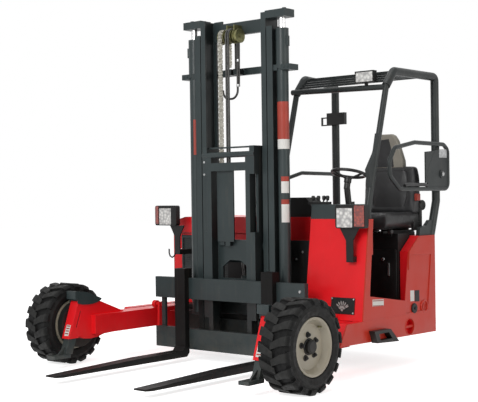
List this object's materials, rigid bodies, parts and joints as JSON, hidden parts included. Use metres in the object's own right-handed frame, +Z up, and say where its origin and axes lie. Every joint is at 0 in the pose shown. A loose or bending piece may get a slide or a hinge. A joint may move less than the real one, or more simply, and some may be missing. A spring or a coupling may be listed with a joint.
{
  "type": "truck-mounted forklift",
  "caption": "Three-wheeled truck-mounted forklift with a sliding two-stage mast between two front legs and an open operator's seat under a tube guard on the left.",
  "frame": {"origin": "on the floor under the middle of the machine's bounding box", "axes": "+X forward to the fork tips, +Y to the machine's left (the operator's side), +Z up"},
  "size_m": [2.554, 2.401, 2.513],
  "materials": {
    "red_paint": "semi-gloss enamel",
    "slate_paint": "satin enamel",
    "black_paint": "satin",
    "tyre_rubber": "matt",
    "rim_paint": "semi-gloss",
    "cylinder_rod": "polished",
    "chain_steel": "oiled steel",
    "sheave_brass": "worn",
    "seat_vinyl": "grained vinyl",
    "taupe_plastic": "matt",
    "black_plastic": "matt",
    "clear_lens": "ribbed",
    "amber_lens": "ribbed"
  },
  "bodies": {
    "chassis": {"rear_frame": "black_paint", "left_leg": "red_paint", "right_leg": "red_paint", "drive_motors": "black_paint", "side_skirts": "red_paint", "front_panel": "red_paint", "operator_body": "red_paint", "dash": "slate_paint", "console": "black_paint", "engine_cowl": "red_paint", "engine_block": "black_paint", "seat_base": "black_paint", "seat_cushion": "seat_vinyl", "seat_back": "seat_vinyl", "seat_shell": "taupe_plastic", "steering_column": "black_plastic", "control_levers": "black_plastic", "headlamps": "black_paint", "lamp_lenses": "clear_lens", "marker_lenses": "amber_lens", "work_lamp": "black_paint", "mirror": "black_plastic", "overhead_guard": "slate_paint", "leg_caps": "slate_paint", "body_fittings": "slate_paint", "engine_panel": "slate_paint"},
    "engine_hood": {"engine_hood": "red_paint"},
    "front_left_wheel": {"front_left_tyre": "tyre_rubber", "front_left_rim": "rim_paint", "front_left_hub": "black_paint"},
    "front_right_wheel": {"front_right_tyre": "tyre_rubber", "front_right_rim": "rim_paint", "front_right_hub": "black_paint"},
    "steer_fork": {"steering_yoke": "black_paint"},
    "rear_wheel": {"rear_tyre": "tyre_rubber", "rear_rim": "rim_paint", "rear_hub": "black_paint"},
    "mast_base": {"reach_frame": "black_paint"},
    "mast_outer": {"outer_mast": "slate_paint", "lift_barrels": "slate_paint"},
    "mast_inner": {"inner_mast": "slate_paint", "lift_rods": "cylinder_rod", "chain_sheaves": "sheave_brass", "lift_chain": "chain_steel", "mast_hoses": "black_paint"},
    "carriage": {"fork_carriage": "slate_paint", "left_fork": "black_paint", "right_fork": "black_paint"},
    "tilt_cylinder_barrels": {"tilt_barrels": "slate_paint"},
    "tilt_cylinder_rods": {"tilt_rods": "cylinder_rod"},
    "left_stabiliser": {"left_stabiliser": "slate_paint"},
    "right_stabiliser": {"right_stabiliser": "slate_paint"},
    "restraint_arm": {"restraint_arm": "slate_paint"},
    "steering_wheel": {"steering_wheel": "black_plastic"}
  },
  "joints": [
    {"name": "front_left_wheel_spin", "type": "hinge", "parent": "chassis", "child": "front_left_wheel", "pos_m": [0.568, 1.084, 0.292], "axis": [0, 1, 0], "continuous": true},
    {"name": "front_right_wheel_spin", "type": "hinge", "parent": "chassis", "child": "front_right_wheel", "pos_m": [0.568, -1.084, 0.292], "axis": [0, 1, 0], "continuous": true},
    {"name": "rear_steer", "type": "hinge", "parent": "chassis", "child": "steer_fork", "pos_m": [-0.784, 0, 0.292], "axis": [0, 0, 1], "range_deg": [-80, 80]},
    {"name": "rear_wheel_spin", "type": "hinge", "parent": "steer_fork", "child": "rear_wheel", "pos_m": [-0.784, 0, 0.292], "axis": [0, 1, 0], "continuous": true},
    {"name": "mast_reach", "type": "slide", "parent": "chassis", "child": "mast_base", "axis": [1, 0, 0], "range_m": [0, 0.6]},
    {"name": "mast_tilt", "type": "hinge", "parent": "mast_base", "child": "mast_outer", "pos_m": [-0.167, 0, 0.25], "axis": [0, 1, 0], "range_deg": [-4, 6]},
    {"name": "mast_lift", "type": "slide", "parent": "mast_outer", "child": "mast_inner", "axis": [0, 0, 1], "range_m": [0, 1.4]},
    {"name": "carriage_lift", "type": "slide", "parent": "mast_inner", "child": "carriage", "axis": [0, 0, 1], "range_m": [0, 1.4], "deforming": ["lift_chain", "mast_hoses"]},
    {"name": "tilt_barrel_pivot", "type": "hinge", "parent": "mast_base", "child": "tilt_cylinder_barrels", "pos_m": [-0.362, 0, 0.39], "axis": [0, 1, 0], "range_deg": [-5.42, 7.99]},
    {"name": "tilt_rod_slide", "type": "slide", "parent": "tilt_cylinder_barrels", "child": "tilt_cylinder_rods", "axis": [0.1644, 0, 0.9864], "range_m": [-0.016, 0.0236]},
    {"name": "left_stabiliser_slide", "type": "slide", "parent": "chassis", "child": "left_stabiliser", "axis": [0.3256, 0, -0.9455], "range_m": [0, 0.07]},
    {"name": "right_stabiliser_slide", "type": "slide", "parent": "chassis", "child": "right_stabiliser", "axis": [0.3256, 0, -0.9455], "range_m": [0, 0.07]},
    {"name": "restraint_arm_swing", "type": "hinge", "parent": "chassis", "child": "restraint_arm", "pos_m": [-1.163, 1.07, 1.347], "axis": [0, -1, 0], "range_deg": [0, 85]},
    {"name": "engine_hood_open", "type": "hinge", "parent": "chassis", "child": "engine_hood", "pos_m": [-1.138, 0, 0.932], "axis": [0, -1, 0], "range_deg": [0, 60]},
    {"name": "steering_wheel_turn", "type": "hinge", "parent": "chassis", "child": "steering_wheel", "pos_m": [-0.502, 0.715, 1.355], "axis": [-0.2419, 0, 0.9703], "range_deg": [-800, 800]}
  ],
  "couplings": [
    {"joint": "carriage_lift", "follows": "mast_lift", "ratio": 1},
    {"joint": "tilt_barrel_pivot", "follows": "mast_tilt", "ratio": 1.2812},
    {"joint": "tilt_rod_slide", "follows": "mast_tilt", "m_per_rad": 0.21536},
    {"joint": "steering_wheel_turn", "follows": "rear_steer", "ratio": -10}
  ]
}
